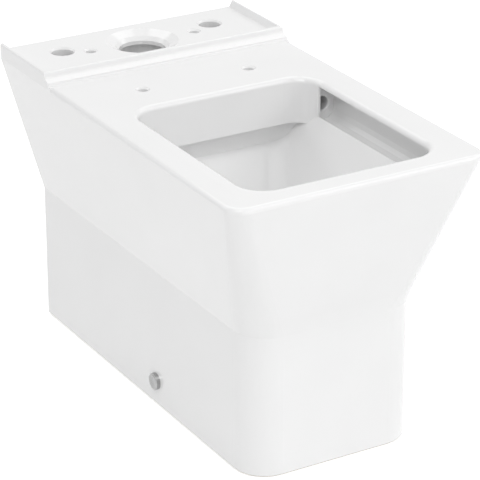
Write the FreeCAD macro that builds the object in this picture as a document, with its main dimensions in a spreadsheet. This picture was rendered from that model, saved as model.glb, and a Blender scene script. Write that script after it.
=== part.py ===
import FreeCAD, Part
import math
import os
import re
import Sketcher

# Floor-standing, back-to-wall close-coupled toilet pan with its concealed side fixings.
# Every solid is drawn with the wall plane at y = 0, the front towards -y and z up from the
# floor. It is then moved forward or back so that the origin is in the middle of the footprint.

doc = FreeCAD.newDocument("ToiletPan")
Vector = FreeCAD.Vector

sizes = {
    # outside of the pan
    "depth": 605,               # wall to the front of the rim
    "width": 354,               # over the wings of the cistern tray
    "rim_height": 390,
    "crease_height": 188.5,     # where the straight foot ends and the flare starts
    "side_flare": 16.1,         # degrees from upright
    "front_flare": 15.2,
    "front_fillet": 148,        # hollow curve between foot and flare, at the front only
    "foot_corner": 44,          # plan radius of the foot's front corners
    "rim_corner": 24,           # plan radius of the rim's front corners
    "rim_edge": 5.5,            # rounding of the rim's outer edge
    "wing_proud": 0.3,          # the wings stand this far outside the rim
    "wing_blend": 12,           # curve between the flared side and the wing's upright one
    "foot_bevel": 2.5,
    "skin": 11,                 # thickness of the outer walls
    "deck": 14,                 # thickness of the deck between bowl and cistern
    "rear_opening": 290,        # height of the opening at the back
    # cistern tray
    "tray_depth": 128,          # wall to the riser
    "tray_rise": 15,            # top of the lip above the deck
    "tray_recess": 8,           # tray floor below the lip
    "tray_skin": 12,
    "lip_thickness": 5.5,
    "lip_round": 2.2,
    "wing_thickness": 3.8,      # at its top
    "wing_draft": 4.5,          # the wing's inner face leans out this far
    "lip_draft": 0.6,
    "riser_draft": 1.5,
    "riser_drop": 7,            # the lip's front face, down to the sloping step
    "riser_cove": 3,
    "step_reach": 11.5,         # the step goes this far out from the lip
    "step_rise": 4,             # height of its outer edge above the deck
    "step_round": 1,
    "step_cove": 2.8,
    # holes in the tray and the deck
    "inlet_distance": 62.5,     # wall to the middle of the flush inlet
    "inlet_bore": 62,
    "inlet_mouth": 97,
    "inlet_seat": 72,           # the ring that the cistern's seal sits on
    "inlet_lead": 1,            # steeper start of the dished mouth
    "inlet_sink": 6.4,          # the ring lies this far below the tray floor
    "inlet_round": 5,           # glazed edge of the bore
    "inlet_neck": 5,            # length of the bore above the flush chamber
    "bolt_spacing": 155,        # cistern bolts
    "bolt_distance": 64,
    "bolt_hole": 14,
    "supply_spacing": 221,      # water supply from below, on either side
    "supply_distance": 48,
    "supply_hole": 29,
    "hinge_spacing": 155,       # seat hinges
    "hinge_distance": 207.5,
    "hinge_hole": 14,
    "hole_round": 2.5,          # glazed edge of each hole
    # bowl
    "deck_depth": 267,          # wall to the back panel of the bowl
    "side_rim": 48,
    "front_rim": 37.5,
    "mouth_corner": 35,
    "mouth_edge": 7,            # rounding of the rim's inner edge
    "channel_rise": 41,         # the channel's roof above the ledge beside the bowl
    "channel_drop": 8,          # the channel's floor below the ledge
    "channel_reach": 27,        # how far it goes in under the rim at the sides
    "channel_reach_front": 13,
    "channel_start": 289,       # wall to the channel's rear end
    "channel_cove": 13,
    "ledge_top": 1,             # thickness of the ledge's crest
    "ledge_foot": 4,            # and at the channel's floor
    "cheek_end": 297,           # wall to the end of the cheek that hides the jet's near side
    "cheek_half": 131.5,
    "panel_drop": 13,           # lower edge of the back panel below the ledge
    "recess_reach": 20,         # how far the bowl goes back behind the panel
    "recess_drop": 30,
    "recess_corner": 45,
    "shoulder_inset": 24.9,     # the bowl's sides at the foot of that recess
    "shoulder_front_inset": 19.9,
    "funnel_corner": 20,
    "sump_half_width": 45,
    "sump_length": 153,
    "sump_front_inset": 67,     # front panel to the sump
    "floor_half_width": 36,
    "floor_inset": 24,
    "bowl_skin": 10,
    "shelf": 18,                # from the ledge down to the hollow of the skirt
    # water ways
    "outlet_height": 180,
    "trap_bore": 56,
    "water_seal": 52,
    "trap_skin": 9,
    "crown_distance": 215,      # wall to the upper bend
    "trap_rise": 50,            # slope of the rising leg in degrees
    "trap_bend": 50,
    "outlet_bore": 86,
    "outlet_outside": 102,
    "outlet_gap": 30,           # wall to the end of the spigot
    "outlet_length": 62,
    "outlet_cone": 42,
    "jet_bore": 19,
    "jet_place": 139,           # from the middle
    "jet_drop": 34,             # below the rim
    "jet_round": 1.5,
    "duct_skin": 12,
    "duct_straight": 75,        # straight way in front of the jet
    "chamber_drop": 60,         # floor of the flush chamber below the tray
    "chamber_growth": 12,       # the chamber's radius over the bore's
    "chamber_skin": 13,
    "divider_width": 9,
    "divider_rise": 14,
    # concealed fixing, one on each side
    "fixing_distance": 312,
    "fixing_height": 34,
    "fixing_hole": 16,
    "sleeve_clearance": 0.3,
    "collar_diameter": 20,
    "collar_stand": 3,          # the sleeve's collar stands out of the skin this far
    "sleeve_bore": 6.6,
    "pocket_depth": 4.6,        # pocket in the sleeve for washer and head
    "pocket_bore": 12.6,
    "cap_diameter": 22.5,
    "cap_stand": 5.8,
    "cap_face": 1.3,
    "cap_fall": 1.0,            # the domed face drops this far to its edge
    "cap_clip": 0.15,
    "washer_outside": 12,
    "washer_bore": 6.4,
    "washer_thickness": 1.2,
    "screw_diameter": 5.9,
    "screw_length": 34,
    "screw_point": 1,
    "head_diameter": 10.5,
    "head_height": 3,
    "head_bevel": 1.2,
    "hex_key": 4,
    "hex_depth": 1.8,
    "bracket_width": 42,
    "bracket_reach": 58,
    "bracket_foot": 8,
    "bracket_leg": 14,
    "bracket_height": 52,
    "bracket_gap": 0.3,
    "bracket_bore": 6.6,
    "rib_thickness": 5,
    "rib_reach": 20,
    "rib_rise": 28,
    "floor_hole": 8.5,
    "floor_hole_inset": 14,     # from the bracket's inner end
    "nut_across": 10,
    "nut_thickness": 5,
    "nut_bore": 6.1,
    "nut_clearance": 0.2,
    "overrun": 1,               # cutters go this far past a face
}

# top of the sump, as a share of the way up from the bowl's floor to its shoulder
sump_level_share = 0.6
# straight cut that touches a rounded corner, as a share of the corner's radius
bevel_share = 0.586
# where the cap's face starts to fall, as a share of its radius
cap_crown_share = 0.8

# lengths that follow from the sizes
rules = {
    "rim_half": "width / 2 - wing_proud",
    "edge_inset": "rim_edge * (1 - cos(side_flare))",
    "flare_top": "rim_height - rim_edge * (1 + sin(side_flare))",
    "rim_front": "depth - edge_inset + tan(front_flare) * (rim_height - flare_top)",
    "foot_half": "rim_half - edge_inset - tan(side_flare) * (flare_top - crease_height)",
    "foot_depth": "depth - edge_inset - tan(front_flare) * (flare_top - crease_height)",
    "fillet_half": "front_fillet * tan(front_flare / 2)",
    "fillet_at_crease": "asin(tan(front_flare / 2)) / 1 deg",
    "wing_break": "flare_top + (wing_proud + edge_inset) / tan(side_flare)",
    "tray_top": "rim_height + tray_rise",
    "tray_floor": "tray_top - tray_recess",
    "deck_start": "tray_depth + step_reach + 2 * step_cove",
    "mouth_half": "width / 2 - side_rim",
    "mouth_front": "depth - front_rim",
    "channel_top": "rim_height - mouth_edge",
    "ledge": "channel_top - channel_rise",
    "channel_bottom": "ledge - channel_drop",
    "panel_foot": "ledge - panel_drop",
    "shoulder": "panel_foot - recess_drop",
    "recess_back": "deck_depth - recess_reach",
    "shoulder_half": "mouth_half - shoulder_inset",
    "dip_height": "outlet_height - trap_bore - water_seal",
    "bowl_floor": "dip_height - trap_bore / 2",
    "sump_level": f"bowl_floor + {sump_level_share} * (shoulder - bowl_floor)",
    "sump_front": "mouth_front - sump_front_inset",
    "sump_back": "sump_front - sump_length",
    "cavity_top": "ledge - shelf",
    "jet_height": "rim_height - jet_drop",
    "sleeve_radius": "fixing_hole / 2 - sleeve_clearance",
    "pocket_floor": "collar_stand - pocket_depth",
    "head_seat": "pocket_floor + washer_thickness",
    "leg_face": "skin + bracket_gap",
}

sheet = doc.addObject("Spreadsheet::Sheet", "Sizes")
for row, (name, size) in enumerate(sizes.items(), 1):
    sheet.set(f"A{row}", str(size))
    sheet.setAlias(f"A{row}", name)
doc.recompute()


def bound(formula):
    """Turn a formula of size names into an expression of the sheet's cells."""
    names = re.compile(r"(?<![\w.])(" + "|".join(rules) + r")\b")
    while names.search(formula):
        formula = names.sub(lambda found: f"({rules[found.group(1)]})", formula)
    return re.sub(r"(?<![\w.])(" + "|".join(sizes) + r")\b", r"Sizes.\1", formula)


def size_of(formula):
    """The present value of a formula of size names."""
    value = sheet.evalExpression(bound(formula))
    return float(getattr(value, "Value", value))


def bind(piece, formulas):
    for path, formula in formulas.items():
        piece.setExpression(path, bound(formula))
    return piece


def draw(sketch, corners):
    """A closed outline through corners of (across, up, radius or None), all formulas."""
    points = [Vector(size_of(across), size_of(up), 0) for across, up, radius in corners]
    starts, ends, arcs = [], [], []
    for here, point in enumerate(points):
        radius = size_of(corners[here][2]) if corners[here][2] else 0
        back = (points[here - 1] - point).normalize()
        ahead = (points[(here + 1) % len(points)] - point).normalize()
        half_angle = back.getAngle(ahead) / 2
        centre = point + (back + ahead).normalize() * (radius / math.sin(half_angle))
        ends.append(point + back * (radius / math.tan(half_angle)))
        starts.append(point + ahead * (radius / math.tan(half_angle)))
        enter, leave = [math.atan2(end.y - centre.y, end.x - centre.x)
                        for end in (ends[here], starts[here])]
        left_turn = back.cross(ahead).z < 0
        first, last = (enter, leave) if left_turn else (leave, enter)
        arcs.append((left_turn, radius and Part.ArcOfCircle(
            Part.Circle(centre, Vector(0, 0, 1), radius), first, last)))
    lines = [sketch.addGeometry(Part.LineSegment(start, ends[(here + 1) % len(ends)]), False)
             for here, start in enumerate(starts)]
    for here, (across, up, radius) in enumerate(corners):
        before, after = lines[here - 1], lines[here]
        if radius:
            left_turn, curve = arcs[here]
            arc = sketch.addGeometry(curve, False)
            mark = sketch.addGeometry(Part.Point(points[here]), True)
            sketch.addConstraint([
                Sketcher.Constraint("Tangent", before, 2, arc, 1 if left_turn else 2),
                Sketcher.Constraint("Tangent", arc, 2 if left_turn else 1, after, 1),
                Sketcher.Constraint("PointOnObject", mark, 1, before),
                Sketcher.Constraint("PointOnObject", mark, 1, after),
            ])
            tie(sketch, Sketcher.Constraint("Radius", arc, size_of(radius)), radius)
        else:
            sketch.addConstraint(Sketcher.Constraint("Coincident", before, 2, after, 1))
            mark = after
        for kind, formula, value, axis in (
            ("DistanceX", across, points[here].x, -2), ("DistanceY", up, points[here].y, -1)
        ):
            if formula == "0":
                sketch.addConstraint(Sketcher.Constraint("PointOnObject", mark, 1, axis))
            else:
                tie(sketch, Sketcher.Constraint(kind, -1, 1, mark, 1, value), formula)
    return sketch


def tie(sketch, constraint, formula):
    place = sketch.addConstraint(constraint)
    sketch.setExpression(f"Constraints[{place}]", bound(formula))


def plan(label, height, half, back, front, corner, rear_corner=None):
    """A level outline, even about the middle, its back and front measured from the wall."""
    sketch = doc.addObject("Sketcher::SketchObject", label)
    bind(sketch, {"Placement.Base.z": height})
    return draw(sketch, [
        (f"-({half})", f"-({back})", rear_corner),
        (f"{half}", f"-({back})", rear_corner),
        (f"{half}", f"-({front})", corner),
        (f"-({half})", f"-({front})", corner),
    ])


def loft(label, plans, ruled=True):
    piece = doc.addObject("Part::Loft", label)
    piece.Sections = plans
    piece.Solid = True
    piece.Ruled = ruled
    return piece


def prism(label, turn, corners, ahead, behind):
    """An upright outline, drawn out both ways along its own normal."""
    sketch = doc.addObject("Sketcher::SketchObject", label + "_outline")
    sketch.Placement = FreeCAD.Placement(Vector(), turn)
    draw(sketch, corners)
    piece = doc.addObject("Part::Extrusion", label)
    piece.Base = sketch
    piece.DirMode = "Normal"
    piece.Solid = True
    return bind(piece, {"LengthFwd": ahead, "LengthRev": behind})


def block(label, low, high):
    """A box between two corners of (x, distance from the wall, z)."""
    piece = doc.addObject("Part::Box", label)
    return bind(piece, {
        "Placement.Base.x": low[0],
        "Placement.Base.y": f"-({high[1]})",
        "Placement.Base.z": low[2],
        "Length": f"({high[0]}) - ({low[0]})",
        "Width": f"({high[1]}) - ({low[1]})",
        "Height": f"({high[2]}) - ({low[2]})",
    })


def lying(label, turn, place, length, radius, end_radius=None):
    """A round pin or cone from a place, turned over from upright."""
    piece = doc.addObject("Part::Cone" if end_radius else "Part::Cylinder", label)
    piece.Placement.Rotation = turn
    bind(piece, dict(zip(("Placement.Base.x", "Placement.Base.y", "Placement.Base.z"), place)))
    bind(piece, {"Height": length})
    if end_radius:
        return bind(piece, {"Radius1": radius, "Radius2": end_radius})
    return bind(piece, {"Radius": radius})


def upright(label, x, distance, bottom, top, radius, top_radius=None):
    """A round pin or cone standing between two heights."""
    piece = doc.addObject("Part::Cone" if top_radius else "Part::Cylinder", label)
    bind(piece, {
        "Placement.Base.x": x,
        "Placement.Base.y": f"-({distance})",
        "Placement.Base.z": bottom,
        "Height": f"({top}) - ({bottom})",
    })
    if top_radius:
        return bind(piece, {"Radius1": radius, "Radius2": top_radius})
    return bind(piece, {"Radius": radius})


def fuse(label, pieces):
    piece = doc.addObject("Part::MultiFuse", label)
    piece.Shapes = pieces
    return piece


def common(label, pieces):
    piece = doc.addObject("Part::MultiCommon", label)
    piece.Shapes = pieces
    return piece


def cut(label, base, tool):
    piece = doc.addObject("Part::Cut", label)
    piece.Base = base
    piece.Tool = tool
    return piece


def mitred_rod(label, route, radius):
    """A round rod along straight runs that meet in mitres."""
    points = [Vector(*[size_of(part) for part in point]) for point in route]
    first = (points[1] - points[0]).normalize()
    ring = Part.Wire([Part.Circle(points[0], first, size_of(radius)).toShape()])
    piece = doc.addObject("Part::Feature", label)
    piece.Shape = Part.makePolygon(points).makePipeShell([ring], True, False, 1)
    return piece


def bent_rod(label, route, bend, radius):
    """A round rod along straight runs that tangent arcs join."""
    points = [Vector(*[size_of(part) for part in point]) for point in route]
    turn = size_of(bend)
    edges = []
    start = points[0]
    for before, here, after in zip(points, points[1:], points[2:]):
        back = (before - here).normalize()
        ahead = (after - here).normalize()
        half_angle = back.getAngle(ahead) / 2
        reach = turn / math.tan(half_angle)
        middle = (back + ahead).normalize()
        on_arc = here + middle * (turn / math.sin(half_angle) - turn)
        enter, leave = here + back * reach, here + ahead * reach
        edges.append(Part.LineSegment(start, enter).toShape())
        edges.append(Part.Arc(enter, on_arc, leave).toShape())
        start = leave
    edges.append(Part.LineSegment(start, points[-1]).toShape())
    first = (points[1] - points[0]).normalize()
    ring = Part.Wire([Part.Circle(points[0], first, size_of(radius)).toShape()])
    piece = doc.addObject("Part::Feature", label)
    piece.Shape = Part.Wire(edges).makePipeShell([ring], True, False)
    return piece


def both(x):
    return ((f"-({x})", "left"), (x, "right"))


# Outer form. The foot is straight, the sides flare from a sharp crease, and the front
# flares through a hollow curve whose sections lie at even steps of its angle.

def foot_plan(label, height, inset):
    return plan(label, height, f"foot_half - {inset}", "-overrun",
                f"foot_depth - {inset}", f"foot_corner - {inset}")


def curve_height(angle):
    return f"crease_height - fillet_half + front_fillet * sin({angle})"


def curve_front(angle):
    return f"foot_depth + front_fillet * (1 - cos({angle}))"


def flare_plan(label, height, front):
    rise = f"(({height}) - crease_height)"
    return plan(label, height, f"foot_half + tan(side_flare) * {rise}", "-overrun", front,
                f"foot_corner + (rim_corner - edge_inset - foot_corner)"
                f" * {rise} / (flare_top - crease_height)")


bevel_plan = foot_plan("bevel_plan", "0", "foot_bevel")
foot_start = foot_plan("foot_start", "foot_bevel", "0")
foot_end = foot_plan("foot_end", curve_height("0"), "0")
foot = loft("foot", [bevel_plan, foot_start, foot_end])

curve_steps = 3
below = [foot_end]
for step in range(1, curve_steps + 1):
    angle = f"(fillet_at_crease * {step} / {curve_steps})"
    below.append(plan(f"curve_below_{step}", curve_height(angle), "foot_half", "-overrun",
                      curve_front(angle), "foot_corner"))
above = [below[-1]]
for step in range(1, curve_steps + 1):
    angle = f"(fillet_at_crease + (front_flare - fillet_at_crease) * {step} / {curve_steps})"
    above.append(flare_plan(f"curve_above_{step}", curve_height(angle), curve_front(angle)))
lower_curve = loft("lower_curve", below, ruled=False)
upper_curve = loft("upper_curve", above, ruled=False)
flare = loft("flare", [above[-1], flare_plan("flare_end", "rim_height", "rim_front")])

# The mouth is cut through the flare's top, and then the glazed rim is rounded inside and out.

mouth = loft("mouth", [
    plan(f"mouth_{end}", height, "mouth_half", "deck_depth", "mouth_front", "mouth_corner",
         "mouth_corner")
    for end, height in (("low", "ledge"), ("high", "rim_height + overrun"))
])
rim_blank = cut("rim_blank", flare, mouth)
doc.recompute()


def rounded(label, blank, edge_groups):
    """A body that takes over a blank and rounds groups of its edges."""
    body = doc.addObject("PartDesign::Body", label)
    body.BaseFeature = blank
    doc.recompute()
    for radius, chosen in edge_groups.items():
        last = body.Tip
        names = [f"Edge{place}" for place, edge in enumerate(last.Shape.Edges, 1)
                 if chosen(edge)]
        rounding = body.newObject("PartDesign::Fillet", f"{label}_{radius}")
        rounding.Base = (last, names)
        bind(rounding, {"Radius": radius})
        body.Tip = rounding
        doc.recompute()
    return body


def at_rim(edge):
    box = edge.BoundBox
    rim = size_of("rim_height")
    return max(abs(box.ZMin - rim), abs(box.ZMax - rim)) < size_of("overrun") / 2


def on_mouth(edge):
    box = edge.BoundBox
    limit = size_of("mouth_half + overrun")
    return at_rim(edge) and max(-box.XMin, box.XMax) < limit and box.YMax < 0


def on_outline(edge):
    return at_rim(edge) and not on_mouth(edge) and edge.BoundBox.YMin < 0


rim = rounded("rim", rim_blank, {"rim_edge": on_outline, "mouth_edge": on_mouth})

# Cistern tray: a side outline with lip, riser and sloping step, trimmed by the outline of
# the wings, with a shallow pocket that is open at the wall.

along_x = FreeCAD.Rotation(Vector(0, 1, 0), Vector(0, 0, 1), Vector(1, 0, 0))
along_y = FreeCAD.Rotation(Vector(1, 0, 0), 90)

tray_side = prism("tray_side", along_x, [
    ("overrun", "flare_top", None),
    ("-deck_start", "flare_top", None),
    ("-deck_start", "rim_height", None),
    ("-(tray_depth + step_reach)", "rim_height", "step_cove"),
    ("-(tray_depth + step_reach)", "rim_height + step_rise", "step_round"),
    ("-(tray_depth + riser_draft)", "tray_top - riser_drop", "riser_cove"),
    ("-tray_depth", "tray_top", "lip_round"),
    ("overrun", "tray_top", None),
], "width", "width")
wing_outline = [
    ("rim_half - edge_inset", "flare_top", None),
    ("width / 2", "wing_break", "wing_blend"),
    ("width / 2", "tray_top", "lip_round"),
]
mirrored = [(f"-({across})", up, radius) for across, up, radius in reversed(wing_outline)]
tray_front = prism("tray_front", along_y, wing_outline + mirrored, "depth", "overrun * 2")
tray_block = common("tray_block", [tray_side, tray_front])
pocket_half = "(width / 2 - wing_thickness)"
tray_pocket = loft("tray_pocket", [
    plan("pocket_floor_plan", "tray_floor", f"{pocket_half} - wing_draft", "-overrun * 2",
         "tray_depth - lip_thickness", "wing_draft"),
    plan("pocket_top_plan", "tray_top + overrun",
         f"{pocket_half} + wing_draft * overrun / tray_recess", "-overrun * 2",
         "tray_depth - lip_thickness + lip_draft", "wing_draft"),
])
tray = cut("tray", tray_block, tray_pocket)
wall_side = block("wall_side", ("-width", "-depth", "-overrun"),
                  ("width", "0", "tray_top + overrun"))
outside = cut("outside", fuse("outside_blank", [
    foot, lower_curve, upper_curve, rim, tray]), wall_side)

# Bowl below the mouth: a funnel, trimmed by the upright walls of the mouth and, below the
# back panel, of a recess that goes further back. The flushing channel runs outside a ledge.

ledge_share = "(ledge - panel_foot) / (ledge - shoulder)"
back_rise = "(sump_back - recess_back) * (ledge - shoulder) / (shoulder - sump_level)"
lower_levels = [
    ("shoulder", "shoulder", "shoulder_half", "recess_back",
     "(mouth_front - shoulder_front_inset)"),
    ("sump", "sump_level", "sump_half_width", "sump_back", "sump_front"),
    ("floor", "bowl_floor", "floor_half_width", "(sump_back + floor_inset)",
     "(sump_front - floor_inset)"),
]
inside_levels = [("ledge", "ledge", "mouth_half", f"(recess_back - {back_rise})", "mouth_front")]
outside_levels = [("brim", "panel_foot", f"(mouth_half - shoulder_inset * {ledge_share})",
                   "recess_back", f"(mouth_front - shoulder_front_inset * {ledge_share})")]
funnel_inside = loft("funnel_inside", [
    plan(f"funnel_inside_{name}", height, half, back, front, "funnel_corner", "funnel_corner")
    for name, height, half, back, front in inside_levels + lower_levels])
throat = loft("throat", [
    plan(f"throat_{end}", height, "mouth_half", "deck_depth", "mouth_front", "mouth_corner",
         "mouth_corner")
    for end, height in (("low", "panel_foot - overrun"), ("high", "ledge"))
])
recess = loft("recess", [
    plan(f"recess_{end}", height, "mouth_half", "recess_back", "mouth_front + recess_reach",
         "recess_corner", "recess_corner")
    for end, height in (("low", "bowl_floor - overrun"), ("high", "panel_foot"))
])
bowl = common("bowl", [funnel_inside, fuse("bowl_walls", [throat, recess])])


def bevelled_plan(label, height, half, back, front, bevel):
    """A level outline whose corners are cut off straight."""
    sketch = doc.addObject("Sketcher::SketchObject", label)
    bind(sketch, {"Placement.Base.z": height})
    right = [(f"{half} - {bevel}", f"-({back})"), (half, f"-({back} + {bevel})"),
             (half, f"-({front} - {bevel})"), (f"{half} - {bevel}", f"-({front})")]
    left = [(f"-({across})", up) for across, up in reversed(right)]
    return draw(sketch, [(across, up, None) for across, up in right + left])


outside_plans = []
for name, height, half, back, front in outside_levels + lower_levels:
    bottom = f"{height} - bowl_skin" if name == "floor" else height
    outside_plans.append(bevelled_plan(
        f"funnel_outside_{name}", bottom, f"({half} + bowl_skin)", f"({back} - bowl_skin)",
        f"({front} + bowl_skin)", f"({bevel_share} * (funnel_corner + bowl_skin))"))
funnel_outside = loft("funnel_outside", outside_plans)

channel_corner = "mouth_corner + channel_cove / 2"
channel_steps = 3
channel_plans = []
for step in range(channel_steps + 1):
    angle = f"(90 * {step} / {channel_steps})"
    inset = f"(channel_cove * (1 - sin({angle})))"
    channel_plans.append(plan(
        f"channel_plan_{step}", f"channel_bottom + channel_cove * (1 - cos({angle}))",
        f"mouth_half + channel_reach - {inset}", "channel_start",
        f"mouth_front + channel_reach_front - {inset}", channel_corner))
channel_floor = loft("channel_floor", channel_plans)
channel_roof = loft("channel_roof", [
    channel_plans[-1],
    plan("channel_roof_plan", "channel_top", "mouth_half + channel_reach", "channel_start",
         "mouth_front + channel_reach_front", channel_corner),
])
ledge_wall = loft("ledge_wall", [
    plan(f"ledge_wall_{end}", height, f"mouth_half + {stand}", "deck_depth",
         f"mouth_front + {stand}", "mouth_corner")
    for end, height, stand in (("low", "channel_bottom - overrun", "ledge_foot"),
                               ("high", "ledge", "ledge_top"))
])
cheeks = block("cheeks", ("-cheek_half", "deck_depth", "channel_bottom - overrun"),
               ("cheek_half", "cheek_end", "channel_top + overrun"))
channel = cut("channel", fuse("channel_space", [channel_floor, channel_roof]),
              fuse("channel_walls", [ledge_wall, cheeks]))

# Water ways: the trap and its spigot, the flush inlet with its chamber, and a duct
# on each side from the chamber to the jet at the rear end of the channel.

trap_half_run = "(outlet_height - dip_height) / tan(trap_rise)"
trap_route = [
    ("0", "-(sump_front + sump_back) / 2", "dip_height"),
    ("0", f"-(crown_distance + {trap_half_run})", "dip_height"),
    ("0", "-crown_distance", "outlet_height"),
    ("0", "-(outlet_gap + outlet_length + outlet_cone)", "outlet_height"),
]
trap_inside = bent_rod("trap_inside", trap_route, "trap_bend", "trap_bore / 2")
trap_outside = mitred_rod("trap_outside", trap_route, "trap_bore / 2 + trap_skin")

to_wall = FreeCAD.Rotation(Vector(1, 0, 0), -90)
cone_start = ("0", "-(outlet_gap + outlet_length + outlet_cone)", "outlet_height")
spigot_start = ("0", "-(outlet_gap + outlet_length)", "outlet_height")
spigot_outside = fuse("spigot_outside", [
    lying("cone_outside", to_wall, cone_start, "outlet_cone", "trap_bore / 2 + trap_skin",
          "outlet_outside / 2"),
    lying("pipe_outside", to_wall, spigot_start, "outlet_length", "outlet_outside / 2"),
])
spigot_inside = fuse("spigot_inside", [
    lying("cone_inside", to_wall, cone_start, "outlet_cone", "trap_bore / 2",
          "outlet_bore / 2"),
    lying("pipe_inside", to_wall, spigot_start, "outlet_length + overrun", "outlet_bore / 2"),
])

chamber_floor = "(tray_floor - chamber_drop)"
inlet_ring = "(tray_floor - inlet_sink)"
chamber_radius = "(inlet_bore / 2 + chamber_growth)"
chamber_outside = upright("chamber_outside", "0", "inlet_distance",
                          f"{chamber_floor} - chamber_skin", "tray_floor - overrun",
                          f"{chamber_radius} + chamber_skin")
chamber_space = upright("chamber_space", "0", "inlet_distance", chamber_floor,
                        f"{inlet_ring} - inlet_round - inlet_neck", chamber_radius)
inlet_bore = upright("inlet_bore", "0", "inlet_distance",
                     f"{inlet_ring} - inlet_round - inlet_neck - overrun",
                     f"{inlet_ring} + overrun", "inlet_bore / 2")
inlet_edge = upright("inlet_edge", "0", "inlet_distance", f"{inlet_ring} - inlet_round",
                     inlet_ring, "inlet_bore / 2", "inlet_bore / 2 + inlet_round")
inlet_dish = upright("inlet_dish", "0", "inlet_distance", inlet_ring, "tray_floor - inlet_lead",
                     "inlet_seat / 2", "inlet_mouth / 2 - 2 * inlet_lead")
inlet_start = upright("inlet_start", "0", "inlet_distance", "tray_floor - inlet_lead",
                      "tray_floor", "inlet_mouth / 2 - 2 * inlet_lead", "inlet_mouth / 2")
divider = block("divider",
                ("-divider_width / 2", f"inlet_distance - {chamber_radius} - overrun",
                 f"{chamber_floor} - overrun"),
                ("divider_width / 2", f"inlet_distance + {chamber_radius} + overrun",
                 f"{chamber_floor} + divider_rise"))
ducts_inside = []
ducts_outside = []
for x, side in both("jet_place"):
    route = [
        (x, "-channel_start", "jet_height"),
        (x, "-(channel_start - duct_straight)", "jet_height"),
        ("0", "-inlet_distance", "jet_height"),
    ]
    ducts_inside.append(mitred_rod(f"duct_inside_{side}", route, "jet_bore / 2"))
    ducts_inside.append(lying(f"jet_edge_{side}", to_wall, route[0], "jet_round",
                              "jet_bore / 2 + jet_round", "jet_bore / 2"))
    ducts_outside.append(mitred_rod(f"duct_outside_{side}", route, "jet_bore / 2 + duct_skin"))
chamber_inside = cut("chamber_inside", chamber_space, divider)

# Hollow of the skirt, open at the floor and, up to the rear opening, at the wall.

def hollow_plan(label, height, back="-overrun"):
    rise = f"(({height}) - crease_height)"
    return plan(label, height, f"foot_half + tan(side_flare) * {rise} - skin", back,
                f"foot_depth + tan(front_flare) * {rise} - skin", "foot_corner - skin")


crease_hollow = plan("crease_hollow", "crease_height", "foot_half - skin", "-overrun",
                     "foot_depth - skin", "foot_corner - skin")
foot_hollow = loft("foot_hollow", [
    plan("floor_hollow", "-overrun", "foot_half - skin", "-overrun", "foot_depth - skin",
         "foot_corner - skin"),
    crease_hollow,
])
flare_hollow = loft("flare_hollow", [crease_hollow, hollow_plan("flare_hollow_top", "cavity_top")])


def deck_hollow_plan(label, height, back, front):
    rise = f"(({height}) - crease_height)"
    return plan(label, height, f"foot_half + tan(side_flare) * {rise} - skin", back, front,
                None)


deck_hollow = loft("deck_hollow", [
    deck_hollow_plan("deck_hollow_low", "cavity_top - skin", "skin", "recess_back - bowl_skin"),
    deck_hollow_plan("deck_hollow_high", "rim_height - deck", "skin", "recess_back - bowl_skin"),
])
tray_hollow = loft("tray_hollow", [
    deck_hollow_plan("tray_hollow_low", "rim_height - deck - skin", "skin", "tray_depth - skin"),
    plan("tray_hollow_high", "tray_floor - tray_skin", "width / 2 - 2 * skin", "skin",
         "tray_depth - skin", None),
])
rear_wall = block("rear_wall", ("-width", "-2 * overrun", "rear_opening"),
                  ("width", "skin", "tray_top"))
hollow = cut("hollow", fuse("hollow_blank", [foot_hollow, flare_hollow, deck_hollow, tray_hollow]),
             fuse("kept_inside", [rear_wall, funnel_outside, trap_outside, spigot_outside,
                                  chamber_outside] + ducts_outside))

# Holes, each with the rounded edge that the glaze gives it.

holes = []
for label, spacing, distance, hole, top, skin in (
    ("bolt", "bolt_spacing", "bolt_distance", "bolt_hole", "tray_floor", "tray_skin"),
    ("supply", "supply_spacing", "supply_distance", "supply_hole", "tray_floor", "tray_skin"),
    ("hinge", "hinge_spacing", "hinge_distance", "hinge_hole", "rim_height", "deck"),
):
    for x, side in both(f"{spacing} / 2"):
        holes.append(upright(f"{label}_hole_{side}", x, distance, f"{top} - 2 * {skin}",
                             f"{top} + overrun", f"{hole} / 2"))
        holes.append(upright(f"{label}_edge_{side}", x, distance, f"{top} - hole_round", top,
                             f"{hole} / 2", f"{hole} / 2 + hole_round"))
to_right = FreeCAD.Rotation(Vector(0, 1, 0), 90)
for x, side in both("foot_half"):
    start = (f"{x} - 2 * skin", "-fixing_distance", "fixing_height")
    holes.append(lying(f"fixing_hole_{side}", to_right, start, "4 * skin", "fixing_hole / 2"))

water_ways = fuse("water_ways", [trap_inside, spigot_inside, chamber_inside, inlet_bore,
                                 inlet_edge, inlet_dish, inlet_start] + ducts_inside)
shell = cut("shell", outside, hollow)
basin = cut("basin", shell, bowl)
channelled = cut("channelled", basin, channel)
plumbed = cut("plumbed", channelled, water_ways)
pan = cut("pan", plumbed, fuse("drilled", holes))
bind(pan, {"Placement.Base.y": "depth / 2"})

# Concealed fixing, once on each side. The round pieces are turned about their own z axis,
# which points out of the pan from the skin's outer face.

def plane_sketch(body, label, role, lift=None):
    sketch = body.newObject("Sketcher::SketchObject", label)
    plane = next(plane for plane in body.Origin.OriginFeatures if plane.Role == role)
    sketch.AttachmentSupport = (plane, [""])
    sketch.MapMode = "FlatFace"
    return bind(sketch, {"AttachmentOffset.Base.z": lift}) if lift else sketch


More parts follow.
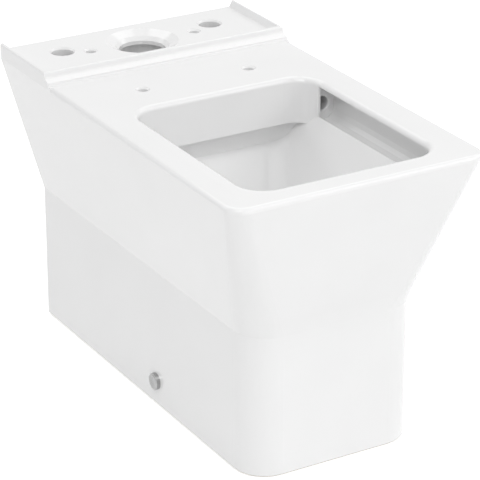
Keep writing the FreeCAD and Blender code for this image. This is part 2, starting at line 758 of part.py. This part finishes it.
def ring(sketch, across, up, radius):
    edge = sketch.addGeometry(Part.Circle(Vector(size_of(across), size_of(up), 0),
                                          Vector(0, 0, 1), size_of(radius)), False)
    for kind, formula, axis in (("DistanceX", across, -2), ("DistanceY", up, -1)):
        if formula == "0":
            sketch.addConstraint(Sketcher.Constraint("PointOnObject", edge, 3, axis))
        else:
            tie(sketch, Sketcher.Constraint(kind, -1, 1, edge, 3, size_of(formula)), formula)
    tie(sketch, Sketcher.Constraint("Radius", edge, size_of(radius)), radius)
    return sketch


def feature(body, kind, label, sketch, **settings):
    piece = body.newObject(f"PartDesign::{kind}", label)
    piece.Profile = sketch
    for name, value in settings.items():
        if isinstance(value, str) and name.startswith("Length"):
            bind(piece, {name: value})
        else:
            setattr(piece, name, value)
    body.Tip = piece
    return piece


def turned(label, corners):
    body = doc.addObject("PartDesign::Body", label)
    outline = draw(plane_sketch(body, f"{label}_profile", "XZ_Plane"), corners)
    feature(body, "Revolution", f"{label}_turned", outline,
            ReferenceAxis=(outline, ["V_Axis"]), Angle=360)
    return body


def face_out(body, x, side):
    """Place a body on a fixing's axis with its z axis pointing out of the pan."""
    body.Placement.Rotation = FreeCAD.Rotation(Vector(0, 1, 0), 90 if side == "right" else -90)
    return bind(body, {"Placement.Base.x": x, "Placement.Base.y": "depth / 2 - fixing_distance",
                       "Placement.Base.z": "fixing_height"})


def even_polygon(across_flats, sides):
    """Corners of an upright regular polygon about the origin."""
    reach = f"({across_flats}) / 2 / cos(180 / {sides})"
    return [(f"{reach} * cos({180 * (2 * corner + 1) / sides})",
             f"{reach} * sin({180 * (2 * corner + 1) / sides})", None)
            for corner in range(sides)]


def cover_cap(label):
    inside = "(collar_diameter / 2 + cap_clip)"
    return turned(label, [
        (inside, "0", None),
        ("cap_diameter / 2", "0", None),
        ("cap_diameter / 2", "cap_stand - cap_fall", None),
        (f"{cap_crown_share} * cap_diameter / 2", "cap_stand", None),
        ("0", "cap_stand", None),
        ("0", "cap_stand - cap_face", None),
        (inside, "cap_stand - cap_face", None),
    ])


def fixing_sleeve(label):
    return turned(label, [
        ("sleeve_bore / 2", "-skin", None),
        ("sleeve_radius", "-skin", None),
        ("sleeve_radius", "0", None),
        ("collar_diameter / 2", "0", None),
        ("collar_diameter / 2", "collar_stand", None),
        ("pocket_bore / 2", "collar_stand", None),
        ("pocket_bore / 2", "pocket_floor", None),
        ("sleeve_bore / 2", "pocket_floor", None),
    ])


def screw_washer(label):
    return turned(label, [
        ("washer_bore / 2", "pocket_floor", None),
        ("washer_outside / 2", "pocket_floor", None),
        ("washer_outside / 2", "head_seat", None),
        ("washer_bore / 2", "head_seat", None),
    ])


def side_screw(label):
    screw_end = "head_seat - screw_length"
    body = turned(label, [
        ("0", screw_end, None),
        ("screw_diameter / 2 - screw_point", screw_end, None),
        ("screw_diameter / 2", f"{screw_end} + screw_point", None),
        ("screw_diameter / 2", "head_seat", None),
        ("head_diameter / 2", "head_seat", None),
        ("head_diameter / 2", "head_seat + head_height - head_bevel", None),
        ("head_diameter / 2 - head_bevel", "head_seat + head_height", None),
        ("0", "head_seat + head_height", None),
    ])
    outline = plane_sketch(body, f"{label}_key", "XY_Plane", "head_seat + head_height")
    feature(body, "Pocket", f"{label}_socket", draw(outline, even_polygon("hex_key", 6)),
            Length="hex_depth")
    return body


def bracket_nut(label):
    """A square nut on the floor of the bracket's pocket."""
    body = doc.addObject("PartDesign::Body", label)
    outer_face = "-(leg_face + bracket_leg - nut_thickness - nut_clearance)"
    outline = plane_sketch(body, f"{label}_outline", "XY_Plane", outer_face)
    feature(body, "Pad", f"{label}_block", draw(outline, even_polygon("nut_across", 4)),
            Length="nut_thickness", Reversed=True)
    bore = plane_sketch(body, f"{label}_ring", "XY_Plane", outer_face)
    feature(body, "Pocket", f"{label}_bore", ring(bore, "0", "0", "nut_bore / 2"),
            Length="nut_thickness")
    return body


def floor_bracket(label):
    """A ribbed angle on the floor, x pointing into the pan from the skin's outer face."""
    body = doc.addObject("PartDesign::Body", label)
    inner_face = "(leg_face + bracket_leg)"
    inner_end = "(leg_face + bracket_reach)"
    outline = plane_sketch(body, f"{label}_side", "XZ_Plane")
    feature(body, "Pad", f"{label}_angle", draw(outline, [
        ("leg_face", "0", None),
        (inner_end, "0", None),
        (inner_end, "bracket_foot", None),
        (inner_face, "bracket_foot", None),
        (inner_face, "bracket_height", None),
        ("leg_face", "bracket_height", None),
    ]), Length="bracket_width", SideType="Symmetric")
    for place, start in enumerate(("bracket_width / 2", "rib_thickness - bracket_width / 2")):
        outline = plane_sketch(body, f"{label}_rib_side_{place}", "XZ_Plane", start)
        feature(body, "Pad", f"{label}_rib_{place}", draw(outline, [
            (inner_face, "bracket_foot", None),
            (f"{inner_face} + rib_reach", "bracket_foot", None),
            (inner_face, "bracket_foot + rib_rise", None),
        ]), Length="rib_thickness", Reversed=True)
    bore = plane_sketch(body, f"{label}_bore_ring", "YZ_Plane")
    feature(body, "Pocket", f"{label}_bore", ring(bore, "0", "fixing_height", "bracket_bore / 2"),
            Type="ThroughAll", Reversed=True)
    pocket = plane_sketch(body, f"{label}_pocket_outline", "YZ_Plane",
                          f"{inner_face} - nut_thickness - nut_clearance")
    square = [(across, f"fixing_height + {up}", None)
              for across, up, radius in even_polygon("nut_across + 2 * nut_clearance", 4)]
    feature(body, "Pocket", f"{label}_pocket", draw(pocket, square), Type="ThroughAll",
            Reversed=True)
    hole = plane_sketch(body, f"{label}_floor_ring", "XY_Plane")
    feature(body, "Pocket", f"{label}_floor_hole",
            ring(hole, f"{inner_end} - floor_hole_inset", "0", "floor_hole / 2"),
            Type="ThroughAll", Reversed=True)
    return body


nodes = [pan]
for x, side in both("foot_half"):
    nodes += [face_out(make(f"{side}_{make.__name__}"), x, side)
              for make in (cover_cap, fixing_sleeve, screw_washer, side_screw, bracket_nut)]
    bracket = floor_bracket(f"{side}_floor_bracket")
    bracket.Placement.Rotation = FreeCAD.Rotation(Vector(0, 0, 1), 180 if side == "right" else 0)
    nodes.append(bind(bracket, {"Placement.Base.x": x,
                                "Placement.Base.y": "depth / 2 - fixing_distance"}))

doc.recompute()
for piece in doc.Objects:
    if {"Invalid", "Error"} & set(piece.State):
        raise RuntimeError(f"{piece.Label} did not build: {piece.getStatusString()}")
for node in nodes:
    shape = node.Shape
    if shape.isNull() or not shape.isValid() or len(shape.Solids) != 1:
        raise RuntimeError(f"{node.Label} is not one sound solid")

os.makedirs("parts", exist_ok=True)
for node in nodes:
    node.Shape.exportStep(f"parts/{node.Label}.step")
    print(node.Label, round(node.Shape.Volume), node.Shape.BoundBox)
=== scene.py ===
import bpy
import math
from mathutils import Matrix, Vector

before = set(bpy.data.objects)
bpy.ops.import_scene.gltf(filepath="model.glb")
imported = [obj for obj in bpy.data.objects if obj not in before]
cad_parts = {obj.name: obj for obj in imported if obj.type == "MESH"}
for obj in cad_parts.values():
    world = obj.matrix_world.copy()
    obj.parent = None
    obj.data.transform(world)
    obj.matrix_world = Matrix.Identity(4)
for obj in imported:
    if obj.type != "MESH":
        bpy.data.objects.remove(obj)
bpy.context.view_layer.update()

mmPerMetre = 1000


def linear(hexColour):
    # sRGB hex to linear RGBA
    values = [int(hexColour[i:i + 2], 16) / 255 for i in (1, 3, 5)]
    return tuple(v / 12.92 if v <= 0.04045 else ((v + 0.055) / 1.055) ** 2.4
                 for v in values) + (1.0,)


def addNode(tree, kind, settings=None, **sockets):
    # settings are the node's own options, sockets are values or links for its inputs.
    # n0, n1 and so on name an input by its number, where the names repeat
    node = tree.nodes.new(kind)
    for name, value in (settings or {}).items():
        setattr(node, name, value)
    for name, value in sockets.items():
        numbered = name[0] == "n" and name[1:].isdigit()
        socket = node.inputs[int(name[1:]) if numbered else name.replace("_", " ")]
        if isinstance(value, bpy.types.NodeSocket):
            tree.links.new(value, socket)
        else:
            socket.default_value = value
    return node


def newMaterial(name):
    material = bpy.data.materials.new(name)
    material.use_nodes = True
    material.node_tree.nodes.clear()
    return material, material.node_tree


def objectPlace(tree):
    return addNode(tree, "ShaderNodeTexCoord").outputs["Object"]


def noise(tree, place, size, detail=1.0):
    # size in mm between the pattern's lumps, detail in octaves
    return addNode(tree, "ShaderNodeTexNoise", Vector=place, Scale=mmPerMetre / size,
                   Detail=detail).outputs["Fac"]


def bump(tree, height, depth, under=None):
    # depth in mm
    node = addNode(tree, "ShaderNodeBump", Height=height, Strength=1.0,
                   Distance=depth / mmPerMetre)
    if under:
        tree.links.new(under, node.inputs["Normal"])
    return node.outputs["Normal"]


def blend(tree, share, first, second):
    # share 0 gives the first colour, 1 the second
    return addNode(tree, "ShaderNodeMix", {"data_type": "RGBA"}, n0=share, n6=first,
                   n7=second).outputs[2]


def finish(tree, **sockets):
    shader = addNode(tree, "ShaderNodeBsdfPrincipled", **sockets)
    addNode(tree, "ShaderNodeOutputMaterial", Surface=shader.outputs[0])


def dress(nodeNames, material):
    for name in nodeNames:
        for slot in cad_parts[name].material_slots:
            slot.material = material


def leftAndRight(name):
    return [f"left_{name}", f"right_{name}"]


# vitreous china: slip cast, sprayed with white glaze and fired. The glaze is glassy and
# bright, with a very slow waviness and a fine orange peel. The edge that stands on the floor
# is wiped bare, so it is matt and a little yellow
china = {
    "glaze": "#F2F2F2",
    "deeper": "#EDEDED",
    "bareBody": "#DDD6C8",
    "bareHeight": 1.6,      # mm above the floor, where the glaze starts to thin out
    "bareEdge": 0.8,        # mm above the floor, below which none is left
    "roughness": 0.09,
    "bareRoughness": 0.75,
    "ior": 1.5,
    "coat": 0.25,
    "coatRoughness": 0.04,
    "toneSize": 120.0,      # mm between patches of thicker glaze
    "toneDetail": 2.0,
    "waveSize": 60.0,       # mm between swells of the glaze
    "waveDepth": 0.02,      # mm
    "peelSize": 2.2,        # mm, orange peel
    "peelDepth": 0.0015,    # mm
}


def glazedChina():
    material, tree = newMaterial("glazedVitreousChina")
    place = objectPlace(tree)
    tone = noise(tree, place, china["toneSize"], china["toneDetail"])
    glaze = blend(tree, tone, linear(china["glaze"]), linear(china["deeper"]))
    height = addNode(tree, "ShaderNodeSeparateXYZ", Vector=place).outputs["Z"]
    bare = addNode(tree, "ShaderNodeMapRange", Value=height,
                   From_Min=china["bareHeight"] / mmPerMetre,
                   From_Max=china["bareEdge"] / mmPerMetre,
                   To_Min=0.0, To_Max=1.0).outputs[0]
    colour = blend(tree, bare, glaze, linear(china["bareBody"]))
    roughness = addNode(tree, "ShaderNodeMapRange", Value=bare, To_Min=china["roughness"],
                        To_Max=china["bareRoughness"]).outputs[0]
    wave = bump(tree, noise(tree, place, china["waveSize"]), china["waveDepth"])
    peel = bump(tree, noise(tree, place, china["peelSize"]), china["peelDepth"], wave)
    finish(tree, Base_Color=colour, Roughness=roughness, IOR=china["ior"], Normal=peel,
           Coat_Weight=china["coat"], Coat_Roughness=china["coatRoughness"])
    return material


dress(["pan"], glazedChina())

# satin chrome on a moulded cap: mid grey, with soft reflections, faint wiping marks and
# painted shade in dark patches across its face
chrome = {
    "plate": "#C6C6C6",
    # the second, darker grey is painted shade on the cap's face
    "paintedShade": "#8C8C8C",
    "roughness": 0.24,
    "paintedShadeSize": 22.0,      # mm, painted shade: dark patches about the size of the cap stand in for the shade and dark reflections on its face
    "paintedShadeDetail": 3.0,
    "wipeSize": 0.5,        # mm, drawn coarser than real so that it shows
    "wipeDetail": 2.0,
    "wipeDepth": 0.004,     # mm
}


def satinChrome():
    material, tree = newMaterial("satinChromePlate")
    place = objectPlace(tree)
    # painted shade: large dark patches across the cap stand in for its shade and dark
    # reflections
    paintedShadeMask = noise(tree, place, chrome["paintedShadeSize"], chrome["paintedShadeDetail"])
    colour = blend(tree, paintedShadeMask, linear(chrome["plate"]), linear(chrome["paintedShade"]))
    marks = noise(tree, place, chrome["wipeSize"], chrome["wipeDetail"])
    wipe = bump(tree, marks, chrome["wipeDepth"])
    finish(tree, Base_Color=colour, Metallic=1.0, Roughness=chrome["roughness"], Normal=wipe)
    return material


dress(leftAndRight("cover_cap"), satinChrome())

# moulded nylon: matt and slightly waxy, with the fine spark-erosion grain of the mould
nylon = {
    "natural": "#E4E2DB",
    "naturalDeep": "#D9D6CC",
    "grey": "#5E6163",
    "greyDeep": "#505355",
    "roughness": 0.52,
    "ior": 1.53,
    "flowSize": 16.0,       # mm, faint flow marks
    "flowDetail": 3.0,
    "grainSize": 0.6,       # mm
    "grainDetail": 2.0,
    "grainDepth": 0.02,     # mm
}


def mouldedNylon(name, base, deep):
    material, tree = newMaterial(name)
    place = objectPlace(tree)
    flow = noise(tree, place, nylon["flowSize"], nylon["flowDetail"])
    colour = blend(tree, flow, linear(nylon[base]), linear(nylon[deep]))
    sparks = noise(tree, place, nylon["grainSize"], nylon["grainDetail"])
    grain = bump(tree, sparks, nylon["grainDepth"])
    finish(tree, Base_Color=colour, Roughness=nylon["roughness"], IOR=nylon["ior"],
           Normal=grain)
    return material


dress(leftAndRight("fixing_sleeve"), mouldedNylon("naturalNylon", "natural", "naturalDeep"))
dress(leftAndRight("floor_bracket"), mouldedNylon("greyNylon", "grey", "greyDeep"))

# A2 stainless steel, cold formed and tumbled: satin, with fine random scuffs
stainless = {
    "steel": "#C9C8C4",
    "scuffed": "#B5B4B0",
    "roughness": 0.33,
    "scuffSize": 1.4,       # mm
    "scuffDetail": 4.0,
    "scuffDepth": 0.006,    # mm
}


def tumbledStainless():
    material, tree = newMaterial("tumbledStainlessSteel")
    scuff = noise(tree, objectPlace(tree), stainless["scuffSize"], stainless["scuffDetail"])
    colour = blend(tree, scuff, linear(stainless["steel"]), linear(stainless["scuffed"]))
    marks = bump(tree, scuff, stainless["scuffDepth"])
    finish(tree, Base_Color=colour, Metallic=1.0, Roughness=stainless["roughness"],
           Normal=marks)
    return material


steel = tumbledStainless()
for fixing in ("screw_washer", "side_screw", "bracket_nut"):
    dress(leftAndRight(fixing), steel)
print("pan and fixings dressed")

# white sweep and soft boxes of a product studio
studio = {
    "white": "#FFFFFF",
    "floorHalf": 12.0,              # metres
    "floorGlow": 0.35,
    "worldLevel": 0.4,              # as light on the object
    "backgroundLevel": 1.0,         # as the background
    "lampSize": 1.8,                # metres each way
    "lamps": {
        # name: (place in metres, watts)
        "frontLeftBox": ((-2.2, -2.2, 2.4), 6.3),
        "frontRightBox": ((2.2, -2.2, 2.4), 23.7),
        "rightHighBox": ((3.0, -0.3, 2.2), 14.6),
        "backTopBox": ((0.0, 2.2, 3.2), 13.6),
        "backLeftBox": ((-2.2, 2.2, 2.4), 11.4),
        "frontLeftTopBox": ((-1.6, -1.6, 3.2), 38.2),
        "backRightTopBox": ((1.6, 1.6, 3.2), 10.8),
        "frontMidBox": ((0.3, -3.0, 1.4), 11.3),
    },
    "aim": (0.0, -0.05, 0.2),
}


def seenAsBackground(tree):
    # 1 for the camera and for what gloss and glass show, 0 for light on the object
    path = addNode(tree, "ShaderNodeLightPath").outputs
    seen = addNode(tree, "ShaderNodeMath", {"operation": "MAXIMUM"},
                   n0=path["Is Camera Ray"], n1=path["Is Glossy Ray"]).outputs[0]
    return addNode(tree, "ShaderNodeMath", {"operation": "MAXIMUM"}, n0=seen,
                   n1=path["Is Transmission Ray"]).outputs[0]


def buildWorld():
    world = bpy.data.worlds.new("studio")
    bpy.context.scene.world = world
    world.use_nodes = True
    tree = world.node_tree
    tree.nodes.clear()
    level = addNode(tree, "ShaderNodeMix", {"data_type": "FLOAT"}, n0=seenAsBackground(tree),
                    n2=studio["worldLevel"], n3=studio["backgroundLevel"]).outputs[0]
    shade = addNode(tree, "ShaderNodeBackground", Color=linear(studio["white"]),
                    Strength=level)
    addNode(tree, "ShaderNodeOutputWorld", Surface=shade.outputs[0])


def buildFloor():
    half = studio["floorHalf"]
    mesh = bpy.data.meshes.new("studioFloor")
    mesh.from_pydata([(-half, -half, 0), (half, -half, 0), (half, half, 0), (-half, half, 0)],
                     [], [(0, 1, 2, 3)])
    floor = bpy.data.objects.new("studioFloor", mesh)
    bpy.context.collection.objects.link(floor)
    material, tree = newMaterial("whiteSweep")
    white = linear(studio["white"])
    paint = addNode(tree, "ShaderNodeBsdfDiffuse", Color=white)
    glow = addNode(tree, "ShaderNodeEmission", Color=white, Strength=studio["floorGlow"])
    lifted = addNode(tree, "ShaderNodeAddShader", n0=paint.outputs[0], n1=glow.outputs[0])
    mixed = addNode(tree, "ShaderNodeMixShader", n0=seenAsBackground(tree),
                    n1=paint.outputs[0], n2=lifted.outputs[0])
    addNode(tree, "ShaderNodeOutputMaterial", Surface=mixed.outputs[0])
    floor.data.materials.append(material)


def buildLamps():
    for name, (place, watts) in studio["lamps"].items():
        lamp = bpy.data.lights.new(name, "AREA")
        lamp.shape = "RECTANGLE"
        lamp.size = lamp.size_y = studio["lampSize"]
        lamp.energy = watts
        holder = bpy.data.objects.new(name, lamp)
        holder.location = place
        aim = Vector(studio["aim"]) - Vector(place)
        holder.rotation_euler = aim.to_track_quat("-Z", "Y").to_euler()
        bpy.context.collection.objects.link(holder)


buildWorld()
buildFloor()
buildLamps()

view = {
    "place": (-1.4633, -2.5200, 1.5016),    # metres
    "aside": -30.3,                         # degrees about Z
    "down": 24.06,                          # degrees below level
    "lens": 187.3,                          # mm
    "sensor": 36.0,                         # mm
}


def buildCamera():
    # an unturned camera looks straight down, 90 degrees below level
    lens = bpy.data.cameras.new("photoView")
    lens.sensor_width = view["sensor"]
    lens.lens = view["lens"]
    holder = bpy.data.objects.new("photoView", lens)
    holder.location = view["place"]
    holder.rotation_euler = (math.radians(90 - view["down"]), 0, math.radians(view["aside"]))
    bpy.context.collection.objects.link(holder)
    bpy.context.scene.camera = holder


buildCamera()
bpy.context.scene.view_settings.view_transform = "Standard"
print("studio and camera set")
